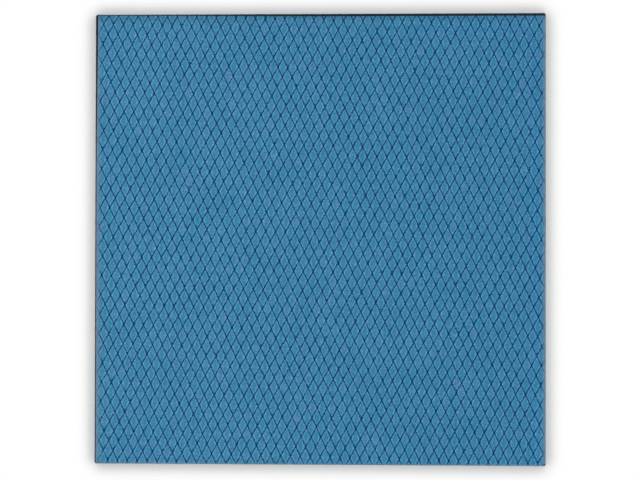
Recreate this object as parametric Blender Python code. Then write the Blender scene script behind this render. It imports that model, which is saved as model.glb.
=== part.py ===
"""Thermal pad sheet: one square of soft filled silicone, die-cut and lying flat.

Metres, +Z up. The origin is the middle of the flat underside, and the sides run along X and Y.
The relief on the upper face is a tenth of a millimetre deep, so this solid has the plain face at the crowns' level.
"""

from math import cos, pi, sin

import bmesh
import bpy

# Sizes of the cut sheet
SHEET_LENGTH = 0.100
SHEET_WIDTH = 0.100
SHEET_THICKNESS = 0.001

# The cut edge: the blade presses the upper rim down, so the side leans in and its top is round
SIDE_LEAN = 0.0001
TOP_ROUND = 0.00025
FOOT_ROUND = 0.00006
CORNER_RADIUS = 0.0004

# Smoothness of the round stretches, in steps for each quarter turn
CORNER_STEPS = 6
ROUND_STEPS = 5

# Finish of the cured silicone
PAD_BLUE = (0.045, 0.19, 0.335, 1.0)
PAD_ROUGHNESS = 0.5


def clear_scene():
    for item in list(bpy.data.objects):
        bpy.data.objects.remove(item)


def silicone():
    material = bpy.data.materials.new("pad_silicone")
    material.use_nodes = True
    shader = material.node_tree.nodes["Principled BSDF"]
    shader.inputs["Base Color"].default_value = PAD_BLUE
    shader.inputs["Roughness"].default_value = PAD_ROUGHNESS
    shader.inputs["Metallic"].default_value = 0.0
    return material


def quarter_turn(steps):
    return [0.5 * pi * step / steps for step in range(steps + 1)]


def side_profile():
    """(inset, height) pairs up the cut side, from the underside to the upper face."""
    foot = [
        (FOOT_ROUND * (1 - sin(turn)), FOOT_ROUND * (1 - cos(turn)))
        for turn in quarter_turn(ROUND_STEPS)
    ]
    top_centre = SHEET_THICKNESS - TOP_ROUND
    top = [
        (SIDE_LEAN + TOP_ROUND * (1 - cos(turn)), top_centre + TOP_ROUND * sin(turn))
        for turn in quarter_turn(ROUND_STEPS)
    ]
    return foot + top


def outline(inset):
    """Corners of the sheet's outline, anticlockwise from above, moved in by inset and with round corners."""
    reach_x = SHEET_LENGTH / 2 - inset - CORNER_RADIUS
    reach_y = SHEET_WIDTH / 2 - inset - CORNER_RADIUS
    centres = [(reach_x, reach_y), (-reach_x, reach_y), (-reach_x, -reach_y), (reach_x, -reach_y)]
    return [
        (x + CORNER_RADIUS * cos(turn + quarter * pi / 2), y + CORNER_RADIUS * sin(turn + quarter * pi / 2))
        for quarter, (x, y) in enumerate(centres)
        for turn in quarter_turn(CORNER_STEPS)
    ]


def build_pad():
    form = bmesh.new()
    rings = [
        [form.verts.new((x, y, height)) for x, y in outline(inset)]
        for inset, height in side_profile()
    ]
    for lower, upper in zip(rings, rings[1:]):
        for here in range(len(lower)):
            after = (here + 1) % len(lower)
            form.faces.new((lower[here], lower[after], upper[after], upper[here]))
    form.faces.new(reversed(rings[0]))
    form.faces.new(rings[-1])
    bmesh.ops.recalc_face_normals(form, faces=form.faces)

    mesh = bpy.data.meshes.new("thermal_pad")
    form.to_mesh(mesh)
    form.free()
    mesh.shade_smooth()
    mesh.set_sharp_from_angle(angle=pi / 4)
    mesh.materials.append(silicone())
    pad = bpy.data.objects.new("thermal_pad", mesh)
    bpy.context.scene.collection.objects.link(pad)
    return pad


clear_scene()
build_pad()
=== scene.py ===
"""Looks of the thermal pad sheet: its pressed diamond relief, its cut edge, its silicone and the studio."""

from math import cos, pi, radians, sin

import bmesh
import bpy
import numpy as np
from mathutils import Euler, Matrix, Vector


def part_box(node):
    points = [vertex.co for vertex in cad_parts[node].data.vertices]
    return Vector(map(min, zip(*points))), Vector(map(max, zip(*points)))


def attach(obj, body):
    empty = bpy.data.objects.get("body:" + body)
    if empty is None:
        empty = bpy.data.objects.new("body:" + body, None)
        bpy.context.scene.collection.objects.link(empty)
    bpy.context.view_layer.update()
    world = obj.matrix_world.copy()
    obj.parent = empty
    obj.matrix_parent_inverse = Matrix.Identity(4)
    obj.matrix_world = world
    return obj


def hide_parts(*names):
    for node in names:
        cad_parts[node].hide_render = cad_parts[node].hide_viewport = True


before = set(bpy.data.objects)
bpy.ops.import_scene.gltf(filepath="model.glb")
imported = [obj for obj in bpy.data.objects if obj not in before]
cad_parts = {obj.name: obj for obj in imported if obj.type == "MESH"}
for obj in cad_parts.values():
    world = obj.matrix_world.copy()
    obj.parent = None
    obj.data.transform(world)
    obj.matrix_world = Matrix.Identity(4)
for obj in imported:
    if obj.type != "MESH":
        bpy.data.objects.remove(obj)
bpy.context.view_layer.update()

MM = 0.001

# The solid that carries the looks
NODE = "thermal_pad"
BODY = "root"
LOW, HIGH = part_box(NODE)
HALF = np.array([(HIGH.x - LOW.x) / 2, (HIGH.y - LOW.y) / 2])
TOP = HIGH.z
FLOOR_LEVEL = LOW.z

# The cut edge, as in the solid
CORNER_RADIUS = 0.40 * MM
CORNER_STEPS = 3
SIDE_LEAN = 0.10 * MM
TOP_ROUND = 0.25 * MM
FOOT_ROUND = 0.06 * MM

# Inset and height of the middle point of the foot's round, as a share of it
FOOT_MIDDLE = 0.3

# Angles down the rounded rim, from the flat top towards the upright side, where the lattice's faces are cut
RIM_TURNS = [pi / 2 * share for share in (1.0, 0.8, 0.6, 0.4)]

# The rim's faces take the cut side's material up to this inset
SIDE_REACH = SIDE_LEAN + 0.8 * TOP_ROUND

# The pressed lattice: two families of straight valleys that cross in tall diamonds
DIAMOND_WIDTH = 2.179 * MM
DIAMOND_HEIGHT = 4.296 * MM
ROW_TURN = radians(-1.544)
COLUMN_TURN = radians(-2.333)
FIRST_CROSSING = np.array([0.035, -0.802]) * MM

# How far the lattice is pulled out of even: along X at the left and right sides, along Y at the front
# and back, and both ways in the corners
PULL_ACROSS = 0.165 * MM
PULL_ALONG = 0.108 * MM
PULL_CORNER = np.array([0.194, 0.088]) * MM

# The lattice's unsteadiness: slow waves over the sheet, each with a direction, a length and a start
WANDER = 0.006 * MM
WANDER_WAVES = (
    (radians(25), 11.0 * MM, 0.4),
    (radians(85), 8.0 * MM, 2.7),
    (radians(150), 17.0 * MM, 5.1),
)

# The valley's section, from its middle line to the crown: shares of the line spacing, and depths
VALLEY_STATIONS = (0.0, 0.06, 0.155, 0.5)
VALLEY_DEPTHS = np.array([0.115, 0.050, 0.010, 0.0]) * MM

# How far all crowns stay below the solid's face, and how much lower each one may be by chance
CROWN_MARGIN = 0.004 * MM
CROWN_UNEVEN = 0.004 * MM
CROWN_CHANCES = np.random.default_rng(11).random((96, 96))

# How far the face rolls down towards the cut edge, and over what distance
EDGE_ROLL = 0.020 * MM
EDGE_ROLL_REACH = 0.90 * MM

# How far the lattice runs past the sheet, how near a cut faces are split, and how near counts as on the cut
LATTICE_MARGIN = 2 * MM
CUT_REACH = 2 * MM
CUT_TOLERANCE = 0.002 * MM

# Camera: straight above, leaning a few degrees as in the photo
CAMERA_DISTANCE = 0.5
CAMERA_AIM = Vector((0.000134, -0.000217, 0.0))
CAMERA_LEAN = Euler((radians(0.841), radians(2.839), radians(0.103)))
CAMERA_LENS = 126.81
SENSOR_WIDTH = 36.0


def lattice_steps():
    """The lattice's two unit steps, as columns: the sides of one diamond."""
    across = DIAMOND_WIDTH * np.array([cos(ROW_TURN), sin(ROW_TURN)])
    along = DIAMOND_HEIGHT * np.array([-sin(COLUMN_TURN), cos(COLUMN_TURN)])
    return np.column_stack([(across - along) / 2, (across + along) / 2])


STEPS = lattice_steps()


def pull(points):
    """How far the lattice lies off its even place: the soft sheet stretched a little as it was pressed."""
    x, y = (points / HALF).T
    return -np.column_stack([PULL_ACROSS * x * x, PULL_ALONG * y * y]) - np.outer(x * y, PULL_CORNER)


def wander(points):
    """A soft unsteadiness of the valleys, too small to see but for their lack of perfect straightness."""
    moved = np.zeros(points.shape)
    for heading, length, start in WANDER_WAVES:
        onward = np.array([cos(heading), sin(heading)])
        moved += WANDER * np.sin(points @ onward * 2 * pi / length + start)[:, None] * onward[::-1]
    return moved


def even_place(lattice):
    """Where lattice coordinates lie before the pull and the wander."""
    return FIRST_CROSSING + lattice @ STEPS.T


def place(lattice):
    """Where lattice coordinates lie on the sheet."""
    even = even_place(lattice)
    pulled = even + pull(even)
    return pulled + wander(pulled)


def lattice_at(points):
    """Lattice coordinates of points on the sheet: a whole number lies on a valley's middle line."""
    even = points - pull(points) - wander(points)
    return (even - FIRST_CROSSING) @ np.linalg.inv(STEPS).T


def outline_planes():
    """(normal, reach, rate) for each side of the outline, which lies at reach - rate * inset."""
    turns = [
        quarter * pi / 2 + step * pi / 2 / CORNER_STEPS
        for quarter in range(4)
        for step in range(CORNER_STEPS + 1)
    ]
    planes = []
    straight = HALF - CORNER_RADIUS
    for turn in sorted(set(round(turn % (2 * pi), 9) for turn in turns)):
        normal = np.array([cos(turn), sin(turn)])
        reach = np.abs(normal) @ straight + CORNER_RADIUS
        planes.append((normal, reach, np.abs(normal).sum()))
    return planes


PLANES = outline_planes()


def inset_of(points):
    """How far inside the foot's outline each point lies."""
    return np.min([(reach - points @ normal) / rate for normal, reach, rate in PLANES], axis=0)


def rim_inset(turn):
    """Inset of the rounded rim at an angle down it."""
    return SIDE_LEAN + TOP_ROUND * (1 - cos(turn))


def rim_level(insets):
    """Height of the smooth sheet, without its relief, at an inset."""
    run = np.clip((SIDE_LEAN + TOP_ROUND - insets) / TOP_ROUND, 0, 1)
    roll = np.clip(1 - (insets - SIDE_LEAN) / EDGE_ROLL_REACH, 0, 1) ** 2
    return TOP - CROWN_MARGIN - TOP_ROUND * (1 - np.sqrt(1 - run ** 2)) - EDGE_ROLL * roll


def line_shares(lattice):
    """How far the nearest line of each family is, as a share of their spacing: 0 on the line, 0.5 midway."""
    return np.abs((lattice + 0.5) % 1 - 0.5)


def valley_depth(shares):
    """Depth of the relief: the valleys of the two families, no deeper where they cross."""
    depth = np.interp(shares, VALLEY_STATIONS, VALLEY_DEPTHS) / VALLEY_DEPTHS[0]
    joined = depth.sum(axis=1) - depth.prod(axis=1)
    return VALLEY_DEPTHS[0] * joined


def crown_unevenness(lattice):
    """Each diamond's crown stands a hair lower than the highest ones."""
    column, row = np.floor(lattice).astype(int).T % len(CROWN_CHANCES)
    return CROWN_UNEVEN * CROWN_CHANCES[column, row]


def relief_level(points):
    """Height of the upper face, with its relief."""
    lattice = lattice_at(points)
    insets = inset_of(points)
    fade = np.clip((insets - SIDE_LEAN) / TOP_ROUND, 0, 1) ** 0.5
    shares = line_shares(lattice)
    crown = np.clip((shares.min(axis=1) - VALLEY_STATIONS[1]) / (0.5 - VALLEY_STATIONS[1]), 0, 1)
    level = rim_level(insets) - fade * valley_depth(shares)
    return level - crown * crown_unevenness(lattice)


def lattice_sheet():
    """A flat mesh of the lattice, a little larger than the sheet, with edges along valleys and shoulders."""
    stations = sorted(set(VALLEY_STATIONS) | {1 - share for share in VALLEY_STATIONS[1:]})
    most = int(np.abs(np.linalg.inv(STEPS)).sum(axis=1).max() * HALF.max()) + 2
    lines = np.array([whole + share for whole in range(-most, most) for share in stations])
    u, v = np.meshgrid(lines, lines, indexing="ij")
    lattice = np.column_stack([u.ravel(), v.ravel()])
    near = (np.abs(even_place(lattice)) < HALF + LATTICE_MARGIN).all(axis=1)
    number = np.full(len(lattice), -1)
    number[near] = np.arange(near.sum())
    number = number.reshape(u.shape)
    corners = np.stack([number[:-1, :-1], number[1:, :-1], number[1:, 1:], number[:-1, 1:]], axis=-1)
    corners = corners.reshape(-1, 4)
    corners = corners[(corners >= 0).all(axis=1)]
    points = place(lattice[near])
    mesh = bpy.data.meshes.new("lattice")
    mesh.from_pydata([(x, y, 0.0) for x, y in points], [], corners.tolist())
    return mesh


def cut(form, inset, outer):
    """Cuts the flat lattice along the outline at an inset, and drops what lies outside it if outer."""
    for normal, reach, rate in PLANES:
        level = reach - rate * inset
        near = [
            face for face in form.faces
            if outer or abs(Vector(normal).dot(face.calc_center_median().xy) - level) < CUT_REACH
        ]
        edges = dict.fromkeys(edge for face in near for edge in face.edges)
        corners = dict.fromkeys(vertex for face in near for vertex in face.verts)
        bmesh.ops.bisect_plane(
            form,
            geom=[*near, *edges, *corners],
            dist=CUT_TOLERANCE,
            plane_co=(*(normal * level), 0.0),
            plane_no=(*normal, 0.0),
            clear_outer=outer,
        )


def skirt_rings():
    """(inset, height) down the side below the lattice's faces."""
    turns = [RIM_TURNS[-1] / 2, 0.0]
    side = [(rim_inset(turn), TOP - TOP_ROUND + TOP_ROUND * sin(turn)) for turn in turns]
    foot = [(0.0, FOOT_ROUND), (FOOT_ROUND * FOOT_MIDDLE, FOOT_ROUND * FOOT_MIDDLE), (FOOT_ROUND, 0.0)]
    return side + [(inset, FLOOR_LEVEL + height) for inset, height in foot]


def add_skirt(form, here):
    """Adds the side's rings of faces below the boundary, at inset here, and returns the last ring's edges.

    The faces are made one by one, because bmesh's extrusion makes them in another order each time.
    """
    loops = [edge.link_loops[0] for edge in form.edges if edge.is_boundary]
    sides = [(loop.link_loop_next.vert, loop.vert) for loop in loops]
    for inset, height in skirt_rings():
        grow = (HALF - inset) / (HALF - here)
        below = {}
        for vertex in dict.fromkeys(vertex for side in sides for vertex in side):
            x, y = np.clip(np.array(vertex.co.xy) * grow, -HALF, HALF)
            below[vertex] = form.verts.new((x, y, height))
        for start, end in sides:
            form.faces.new((start, end, below[end], below[start]))
        sides = [(below[start], below[end]) for start, end in sides]
        here = inset
    return [form.edges.get(side) for side in sides]


def build_pad():
    """The sheet: the lattice, cut to the outline and raised to its relief, with its side and underside."""
    form = bmesh.new()
    form.from_mesh(lattice_sheet())
    loose = [vertex for vertex in form.verts if not vertex.link_faces]
    bmesh.ops.delete(form, geom=loose, context="VERTS")
    rim = [rim_inset(turn) for turn in RIM_TURNS]
    cut(form, rim[-1], True)
    for inset in rim[:-1]:
        cut(form, inset, False)

    form.verts.ensure_lookup_table()
    points = np.array([vertex.co[:2] for vertex in form.verts])
    for vertex, level in zip(form.verts, relief_level(points)):
        vertex.co.z = level

    foot = add_skirt(form, rim[-1])
    underside = bmesh.ops.contextual_create(form, geom=foot)["faces"]
    bmesh.ops.recalc_face_normals(form, faces=form.faces)
    for face in form.faces:
        centre = np.array([face.calc_center_median().xy])
        face.material_index = 1 if inset_of(centre)[0] < SIDE_REACH else 0
        face.smooth = True
    for face in underside:
        face.material_index = 2
        face.smooth = False

    mesh = bpy.data.meshes.new("pad_relief")
    form.to_mesh(mesh)
    form.free()
    points = np.array([vertex.co[:2] for vertex in mesh.vertices])
    lattice = mesh.attributes.new("lattice", "FLOAT_VECTOR", "POINT")
    values = np.column_stack([lattice_at(points), np.zeros(len(points))])
    lattice.data.foreach_set("vector", values.astype(np.float32).ravel())
    pad = bpy.data.objects.new("pad_sheet", mesh)
    bpy.context.scene.collection.objects.link(pad)
    return pad


class Nodes:
    """Short ways to write a material's node tree."""

    def __init__(self, name):
        self.material = bpy.data.materials.new(name)
        self.material.use_nodes = True
        self.tree = self.material.node_tree
        self.shader = self.tree.nodes["Principled BSDF"]

    def link(self, source, target):
        self.tree.links.new(source, target)

    def fill(self, socket, value):
        if isinstance(value, bpy.types.NodeSocket):
            self.link(value, socket)
        else:
            socket.default_value = value

    def math(self, operation, *values, clamp=False):
        node = self.tree.nodes.new("ShaderNodeMath")
        node.operation = operation
        node.use_clamp = clamp
        for socket, value in zip(node.inputs, values):
            self.fill(socket, value)
        return node.outputs[0]

    def ramp(self, value, low, high, start=0.0, end=1.0):
        """A smooth step of value from low to high, giving start to end."""
        node = self.tree.nodes.new("ShaderNodeMapRange")
        node.interpolation_type = "SMOOTHSTEP"
        for socket, number in zip(node.inputs, (value, low, high, start, end)):
            self.fill(socket, number)
        return node.outputs[0]

    def weigh(self, first, second, share):
        """The sum of two numbers, of which first counts for a share and second for the rest."""
        return self.math("ADD", self.math("MULTIPLY", first, share), self.math("MULTIPLY", second, 1 - share))

    def mix(self, share, first, second, blend="MIX"):
        """A colour: first, with a share of second laid over it."""
        node = self.tree.nodes.new("ShaderNodeMix")
        node.data_type = "RGBA"
        node.blend_type = blend
        self.fill(node.inputs[0], share)
        self.fill(node.inputs[6], first)
        self.fill(node.inputs[7], second)
        return node.outputs[2]

    def noise(self, scale, detail=2.0):
        node = self.tree.nodes.new("ShaderNodeTexNoise")
        node.inputs["Scale"].default_value = scale
        node.inputs["Detail"].default_value = detail
        self.link(self.place(), node.inputs["Vector"])
        return node.outputs[0]

    def place(self):
        if not hasattr(self, "object_place"):
            self.object_place = self.tree.nodes.new("ShaderNodeTexCoord").outputs["Object"]
        return self.object_place

    def along(self, axis):
        """The coordinate along X (0), Y (1) or Z (2), in metres."""
        if not hasattr(self, "object_split"):
            self.object_split = self.tree.nodes.new("ShaderNodeSeparateXYZ")
            self.link(self.place(), self.object_split.inputs[0])
        return self.object_split.outputs[axis]

    def from_side(self, axis, sign):
        """Distance in millimetres from the side at the negative or positive end of X (0) or Y (1)."""
        return self.math("MULTIPLY_ADD", self.along(axis), -sign / MM, HALF[axis] / MM)

    def finish(self, colour, roughness, gloss):
        """Sets the shader's colour, roughness and specular level, and returns the material."""
        self.link(colour, self.shader.inputs["Base Color"])
        self.link(roughness, self.shader.inputs["Roughness"])
        self.shader.inputs["Specular IOR Level"].default_value = gloss
        return self.material

    def bump(self, height, distance, strength):
        node = self.tree.nodes.new("ShaderNodeBump")
        node.inputs["Strength"].default_value = strength
        node.inputs["Distance"].default_value = distance
        self.link(height, node.inputs["Height"])
        self.link(node.outputs[0], self.shader.inputs["Normal"])


# Colours, in linear light
CELL_BLUE = (0.038, 0.176, 0.308, 1.0)
# Paler blue of the painted highlight on the shoulders beside the lines; the underside's mottle uses it too
SHOULDER_BLUE = (0.095, 0.254, 0.419, 1.0)
# Painted shade in the valleys, and darker painted shade where they cross
VALLEY_BLUE = (0.001, 0.052, 0.136, 1.0)
CROSSING_BLUE = (0.001, 0.034, 0.101, 1.0)
TURQUOISE = (0.018, 0.194, 0.272, 1.0)
VIOLET_BLUE = (0.095, 0.188, 0.388, 1.0)
# The cut side's blue and its paler mottle; the paler blue is also the painted highlight along the rim
SIDE_BLUE = (0.050, 0.150, 0.240, 1.0)
SIDE_BLUE_PALE = (0.130, 0.205, 0.275, 1.0)
# Dark slate of the cut section and of the painted shade on the rim; the paler slate is its mottle and also
# the painted shade fading in from the back edge
SIDE_SLATE = (0.010, 0.019, 0.027, 1.0)
SIDE_SLATE_PALE = (0.020, 0.036, 0.050, 1.0)

# How strong red, green and blue are at the sheet's left and right sides: stronger at the left, with red
# falling most towards the right
SIDE_TO_SIDE = ((1.02, 0.86), (1.06, 0.975), (1.06, 1.01))

# How strongly red, green and blue answer to a change of tone
TONE_ANSWER = (1.6, 1.0, 0.75)

# Scales of the noises, in cycles for each metre
DRIFT_SCALE = 110.0
MOTTLE_SCALE = 260.0
CLOUD_SCALE = 1500.0
VALLEY_SHADE_STRENGTH_SCALE = 2400.0
STREAK_SCALE = 2500.0
WIDTH_SCALE = 2800.0
RAGGED_SCALE = 3000.0
SPECK_SCALE = 3600.0
RELIEF_GRAIN_SCALE = 6000.0
UNDERSIDE_GRAIN_SCALE = 7000.0
SIDE_GRAIN_SCALE = 9000.0

# Ramps from here on are (from, to, value before, value after); values left out are 0 and 1.
# These turn a noise into a tone, a share of colour or a change of a line's width
DRIFT = (0.3, 0.7, 0.975, 1.025)
SPECK = (0.2, 0.8, 0.74, 1.26)
CELL_SHARE = 0.16
TO_TURQUOISE = (0.52, 0.78, 0.0, 0.90)
TO_VIOLET = (0.48, 0.24, 0.0, 0.75)
# How strong the painted shade in the valleys and crossings is from place to place
VALLEY_SHADE_STRENGTH = (0.36, 0.60, 0.64, 1.0)
NARROWING = (0.34, 0.66, 0.68, 1.34)
RAGGED_REACH = 0.08
MOTTLE = (0.35, 0.65)
STREAK_SHARE = 0.6

# The lines by distance from their middle, as a share of their spacing: painted highlight on the shoulder and
# painted shade in the valley of each family, and darker painted shade where they cross
SHOULDER_U = (0.30, 0.12, 0.0, 0.61)
SHOULDER_V = (0.28, 0.11, 0.0, 0.56)
VALLEY_U = (0.095, 0.056)
VALLEY_V = (0.102, 0.048, 0.0, 0.94)
CROSSING = (0.16, 0.04)

# How each family's width changes from one crossing to the next, where more is narrower: the painted shade in
# the lines is heavier at one end of each diamond than at the other, as light from one side makes it
PINCH_U_SLOPE = 0.42
PINCH_U_START = 0.79
PINCH_V = (0.55, 0.95, 1.0, 0.76)

# How much paler the diamonds are towards their blunt corners, at left and right, and darker at the sharp
# ones: painted highlight and painted shade
CORNER_GLEAM = 3.0

# The rim's strips by distance from their side, in millimetres: pale strips of painted highlight at the left,
# right and front, painted shade fading in from the back, narrow painted shade at the back and left, and a
# dark spot at one corner
HIGHLIGHT_LEFT = (1.50, 0.40, 0.0, 0.85)
HIGHLIGHT_RIGHT = (1.00, 0.30, 0.0, 0.65)
HIGHLIGHT_FRONT = (0.60, 0.30, 0.0, 0.35)
SHADE_FADE_BACK = (2.20, 0.60, 0.0, 0.24)
SHADE_RIM_BACK = (0.36, 0.24)
SHADE_RIM_LEFT = (0.42, 0.30)
DARK_CORNER = (0.55, 0.45)

# Where along its side a rim of painted shade widens, in shares of half the sheet, and by how many millimetres
SHADE_RIM_BACK_WIDENING = (-1.0, 0.2, 0.36)
SHADE_RIM_LEFT_WIDENING = (0.3, 1.0, 0.26)

# The dark section begins and is full this far below the upper face
SECTION_START = 0.25 * MM
SECTION_FULL = 0.45 * MM

# Roughness by noise, specular levels, and the grain's height as (distance, strength)
RELIEF_ROUGHNESS = (0.3, 0.7, 0.60, 0.70)
SIDE_ROUGHNESS = (0.3, 0.7, 0.50, 0.60)
UNDERSIDE_ROUGHNESS = (0.3, 0.7, 0.50, 0.62)
RELIEF_GLOSS = 0.03
PLAIN_GLOSS = 0.08
RELIEF_GRAIN = (0.006 * MM, 0.6)
SIDE_GRAIN = (0.006 * MM, 0.5)
UNDERSIDE_GRAIN = (0.005 * MM, 0.5)


def widening(nodes, axis, start, end, width):
    """How much wider a rim of painted shade gets along an axis, in millimetres."""
    return nodes.ramp(nodes.along(axis), start * HALF[axis], end * HALF[axis], 0.0, width)


def painted_shade_rim_and_dark_corner(nodes):
    """Painted shade on the rim at -X and +Y, wider towards one end, and a dark spot at the corner of +X and
    -Y.
    """
    wider_back = widening(nodes, 0, *SHADE_RIM_BACK_WIDENING)
    back = nodes.ramp(nodes.math("SUBTRACT", nodes.from_side(1, 1), wider_back), *SHADE_RIM_BACK)
    wider_left = widening(nodes, 1, *SHADE_RIM_LEFT_WIDENING)
    left = nodes.ramp(nodes.math("SUBTRACT", nodes.from_side(0, -1), wider_left), *SHADE_RIM_LEFT)
    corner_right = nodes.ramp(nodes.from_side(0, 1), *DARK_CORNER)
    corner_front = nodes.ramp(nodes.from_side(1, -1), *DARK_CORNER)
    corner = nodes.math("MULTIPLY", corner_right, corner_front)
    return nodes.math("MAXIMUM", nodes.math("MAXIMUM", back, left), corner)


def rim_tint(nodes, body):
    """Body's colour, changed near the cut edges: painted shade at the left and back, a painted highlight just
    inside the left one and painted shade fading in from the back one, and a painted highlight at the right
    and front.
    """
    # Pale strips of painted highlight along the left, right and front rim
    highlight_left = nodes.ramp(nodes.from_side(0, -1), *HIGHLIGHT_LEFT)
    highlight_right = nodes.ramp(nodes.from_side(0, 1), *HIGHLIGHT_RIGHT)
    highlight_front = nodes.ramp(nodes.from_side(1, -1), *HIGHLIGHT_FRONT)
    painted_highlight = nodes.math("MAXIMUM", nodes.math("MAXIMUM", highlight_left, highlight_right), highlight_front)
    body = nodes.mix(painted_highlight, body, SIDE_BLUE_PALE)
    # Painted shade fading in from the back edge
    body = nodes.mix(nodes.ramp(nodes.from_side(1, 1), *SHADE_FADE_BACK), body, SIDE_SLATE_PALE)
    # Painted shade on the rim at the left and back edges, and the dark spot at one corner
    return nodes.mix(painted_shade_rim_and_dark_corner(nodes), body, SIDE_SLATE)


def lattice_lines(nodes):
    """The lattice coordinates that the mesh carries."""
    read = nodes.tree.nodes.new("ShaderNodeAttribute")
    read.attribute_name = "lattice"
    split = nodes.tree.nodes.new("ShaderNodeSeparateXYZ")
    nodes.link(read.outputs["Vector"], split.inputs[0])
    return split.outputs[0], split.outputs[1]


def mottled_blue(nodes, u, v, cloud):
    """The silicone's blue, leaning to turquoise or violet in small clouds, and a little with each diamond."""
    cell = nodes.tree.nodes.new("ShaderNodeCombineXYZ")
    nodes.link(nodes.math("FLOOR", u), cell.inputs[0])
    nodes.link(nodes.math("FLOOR", v), cell.inputs[1])
    chance = nodes.tree.nodes.new("ShaderNodeTexWhiteNoise")
    chance.noise_dimensions = "3D"
    nodes.link(cell.outputs[0], chance.inputs["Vector"])
    lean = nodes.weigh(chance.outputs["Value"], cloud, CELL_SHARE)
    body = nodes.mix(nodes.ramp(lean, *TO_TURQUOISE), CELL_BLUE, TURQUOISE)
    return nodes.mix(nodes.ramp(lean, *TO_VIOLET), body, VIOLET_BLUE)


def relief_tint(nodes, u, v, body):
    """Body's colour with painted highlight on the shoulders beside the lines, painted shade in the valleys
    along them and darker painted shade at the crossings.
    """
    ragged = nodes.math("MULTIPLY_ADD", nodes.noise(RAGGED_SCALE), 2 * RAGGED_REACH, -RAGGED_REACH)
    near_u = nodes.math("PINGPONG", nodes.math("ADD", u, ragged), 0.5)
    near_v = nodes.math("PINGPONG", nodes.math("SUBTRACT", v, ragged), 0.5)
    share_u, share_v = (nodes.math("FRACT", line) for line in (u, v))
    # The painted shade in the valleys and crossings is stronger in some places than in others
    valley_shade_strength = nodes.ramp(nodes.noise(VALLEY_SHADE_STRENGTH_SCALE), *VALLEY_SHADE_STRENGTH)
    narrowing = nodes.ramp(nodes.noise(WIDTH_SCALE), *NARROWING)

    # The painted shade of each line is wider towards one crossing than the other
    pinch_u = nodes.math("MULTIPLY_ADD", share_v, PINCH_U_SLOPE, PINCH_U_START)
    pinch_v = nodes.ramp(share_u, *PINCH_V)
    narrow_u = nodes.math("MULTIPLY", near_u, nodes.math("MULTIPLY", narrowing, pinch_u))
    narrow_v = nodes.math("MULTIPLY", near_v, nodes.math("MULTIPLY", narrowing, pinch_v))
    # Painted shade in the valleys of both families
    valley = nodes.math("MAXIMUM", nodes.ramp(narrow_u, *VALLEY_U), nodes.ramp(narrow_v, *VALLEY_V))

    # Painted highlight on the shoulders beside the lines, more towards the diamonds' blunt corners and less
    # at their sharp ones
    blunt = nodes.math("MULTIPLY", *(nodes.math("SUBTRACT", share, 0.5) for share in (share_u, share_v)))
    shoulder = nodes.math("ADD", nodes.ramp(near_u, *SHOULDER_U), nodes.ramp(near_v, *SHOULDER_V))
    painted_highlight = nodes.math("MULTIPLY_ADD", blunt, CORNER_GLEAM, shoulder, clamp=True)
    beside = nodes.math("SUBTRACT", 1.0, valley)
    body = nodes.mix(nodes.math("MULTIPLY", painted_highlight, beside), body, SHOULDER_BLUE)
    body = nodes.mix(nodes.math("MULTIPLY", valley, valley_shade_strength), body, VALLEY_BLUE)

    # Darker painted shade where the lines cross
    farthest = nodes.math("MAXIMUM", near_u, near_v)
    crossing = nodes.ramp(nodes.math("MULTIPLY", farthest, narrowing), *CROSSING)
    return nodes.mix(nodes.math("MULTIPLY", valley_shade_strength, crossing), body, CROSSING_BLUE)


def tone(nodes):
    """How strong red, green and blue are from place to place."""
    drift = nodes.ramp(nodes.noise(DRIFT_SCALE), *DRIFT)
    speck = nodes.ramp(nodes.noise(SPECK_SCALE), *SPECK)
    strength = nodes.math("MULTIPLY", drift, speck)
    shade = nodes.tree.nodes.new("ShaderNodeCombineColor")
    for socket, (left, right), answer in zip(shade.inputs, SIDE_TO_SIDE, TONE_ANSWER):
        fade = nodes.ramp(nodes.along(0), -HALF[0], HALF[0], left, right)
        nodes.link(nodes.math("MULTIPLY", nodes.math("POWER", strength, answer), fade), socket)
    return shade.outputs[0]


def relief_material():
    """The upper face: blue silicone with painted shade in the valleys, painted highlight on the shoulders and
    a slight change of hue.
    """
    nodes = Nodes("embossed_silicone")
    u, v = lattice_lines(nodes)
    cloud = nodes.noise(CLOUD_SCALE)
    body = relief_tint(nodes, u, v, mottled_blue(nodes, u, v, cloud))
    body = nodes.mix(1.0, body, tone(nodes), "MULTIPLY")
    nodes.bump(nodes.noise(RELIEF_GRAIN_SCALE, detail=3.0), *RELIEF_GRAIN)
    return nodes.finish(rim_tint(nodes, body), nodes.ramp(cloud, *RELIEF_ROUGHNESS), RELIEF_GLOSS)


def side_material():
    """The cut side: a dark section, under a rim with painted shade at -X and +Y and a dark spot at the corner
    of +X and -Y, and blue elsewhere.
    """
    nodes = Nodes("cut_silicone")
    grain = nodes.noise(SIDE_GRAIN_SCALE)
    streaks = nodes.weigh(nodes.noise(STREAK_SCALE, detail=3.0), grain, STREAK_SHARE)
    blue = nodes.mix(nodes.ramp(streaks, *MOTTLE), SIDE_BLUE, SIDE_BLUE_PALE)
    slate = nodes.mix(nodes.ramp(streaks, *MOTTLE), SIDE_SLATE, SIDE_SLATE_PALE)
    section = nodes.ramp(nodes.along(2), TOP - SECTION_START, TOP - SECTION_FULL)
    # The rim takes painted shade at the left and back edges and the dark spot at one corner; below the rim
    # the section is dark slate all round
    body = nodes.mix(nodes.math("MAXIMUM", section, painted_shade_rim_and_dark_corner(nodes)), blue, slate)
    nodes.bump(grain, *SIDE_GRAIN)
    return nodes.finish(body, nodes.ramp(grain, *SIDE_ROUGHNESS), PLAIN_GLOSS)


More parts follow.
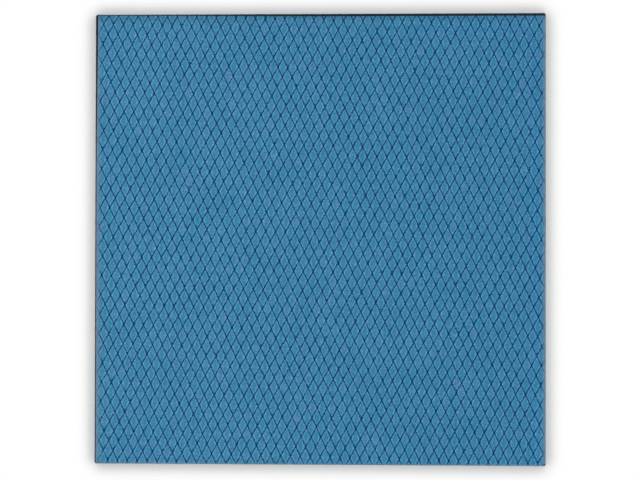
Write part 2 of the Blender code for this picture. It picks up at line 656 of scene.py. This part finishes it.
def underside_material():
    """The plain underside: the same blue, matt, with a faint mottle."""
    nodes = Nodes("plain_silicone")
    grain = nodes.noise(UNDERSIDE_GRAIN_SCALE)
    mottle = nodes.ramp(nodes.noise(MOTTLE_SCALE, detail=4.0), *MOTTLE)
    body = nodes.mix(mottle, CELL_BLUE, SHOULDER_BLUE)
    nodes.bump(grain, *UNDERSIDE_GRAIN)
    return nodes.finish(body, nodes.ramp(grain, *UNDERSIDE_ROUGHNESS), PLAIN_GLOSS)


# Studio: an even ring of soft light from all round, low enough for a soft shadow beside so thin a sheet.
# The ring fades over a tenth of its edges' height on either side, and is dimmer at its top
RING_LOW = radians(12)
RING_HIGH = radians(30)
RING_FADE = 0.1
RING_RADIANCE = 8.9
RING_TOP_SHARE = 0.35
ZENITH_RADIANCE = 0.06
HORIZON_RADIANCE = 0.9

# The world's colours are held between 0 and 1, and multiplied by its strength
WORLD_STRENGTH = 10.0

FLOOR_SIDE = 6.0
FLOOR_GAP = 0.005 * MM
FLOOR_WHITE = 0.86


def sky():
    """The world's light by height: the ring, and little above and below it."""
    world = bpy.data.worlds.new("studio")
    bpy.context.scene.world = world
    world.use_nodes = True
    tree = world.node_tree
    background = tree.nodes["Background"]
    split = tree.nodes.new("ShaderNodeSeparateXYZ")
    tree.links.new(tree.nodes.new("ShaderNodeTexCoord").outputs["Generated"], split.inputs[0])
    ramp = tree.nodes.new("ShaderNodeValToRGB")
    tree.links.new(split.outputs[2], ramp.inputs[0])
    stops = [
        (0.0, HORIZON_RADIANCE),
        (sin(RING_LOW) * (1 - RING_FADE), HORIZON_RADIANCE),
        (sin(RING_LOW) * (1 + RING_FADE), RING_RADIANCE),
        (sin(RING_HIGH) * (1 - RING_FADE), RING_RADIANCE * RING_TOP_SHARE),
        (sin(RING_HIGH) * (1 + RING_FADE), ZENITH_RADIANCE),
        (1.0, ZENITH_RADIANCE),
    ]
    elements = ramp.color_ramp.elements
    while len(elements) < len(stops):
        elements.new(0.5)
    for element, (position, radiance) in zip(elements, stops):
        element.position = position
        element.color = (*[radiance / WORLD_STRENGTH] * 3, 1.0)
    tree.links.new(ramp.outputs[0], background.inputs["Color"])
    background.inputs["Strength"].default_value = WORLD_STRENGTH


def floor():
    """A plain white floor, a hair below the sheet."""
    mesh = bpy.data.meshes.new("floor")
    reach = FLOOR_SIDE / 2
    level = FLOOR_LEVEL - FLOOR_GAP
    mesh.from_pydata(
        [(-reach, -reach, level), (reach, -reach, level), (reach, reach, level), (-reach, reach, level)],
        [],
        [(0, 1, 2, 3)],
    )
    ground = bpy.data.objects.new("floor", mesh)
    bpy.context.scene.collection.objects.link(ground)
    white = bpy.data.materials.new("floor_white")
    white.use_nodes = True
    shader = white.node_tree.nodes["Principled BSDF"]
    shader.inputs["Base Color"].default_value = (FLOOR_WHITE, FLOOR_WHITE, FLOOR_WHITE, 1.0)
    shader.inputs["Roughness"].default_value = 1.0
    shader.inputs["Specular IOR Level"].default_value = 0.0
    mesh.materials.append(white)


def camera():
    """The photo's view: from above, aimed near the sheet's middle."""
    lens = bpy.data.cameras.new("camera")
    lens.sensor_width = SENSOR_WIDTH
    lens.lens = CAMERA_LENS
    eye = bpy.data.objects.new("camera", lens)
    back = CAMERA_LEAN.to_matrix() @ Vector((0.0, 0.0, 1.0))
    eye.location = CAMERA_AIM + CAMERA_DISTANCE * back
    eye.rotation_euler = CAMERA_LEAN
    bpy.context.scene.collection.objects.link(eye)
    bpy.context.scene.camera = eye


camera()
sky()
floor()
pad = build_pad()
for material in (relief_material(), side_material(), underside_material()):
    pad.data.materials.append(material)
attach(pad, BODY)
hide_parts(NODE)
bpy.context.scene.view_settings.view_transform = "Standard"
print("triangles", sum(len(face.vertices) - 2 for face in pad.data.polygons))
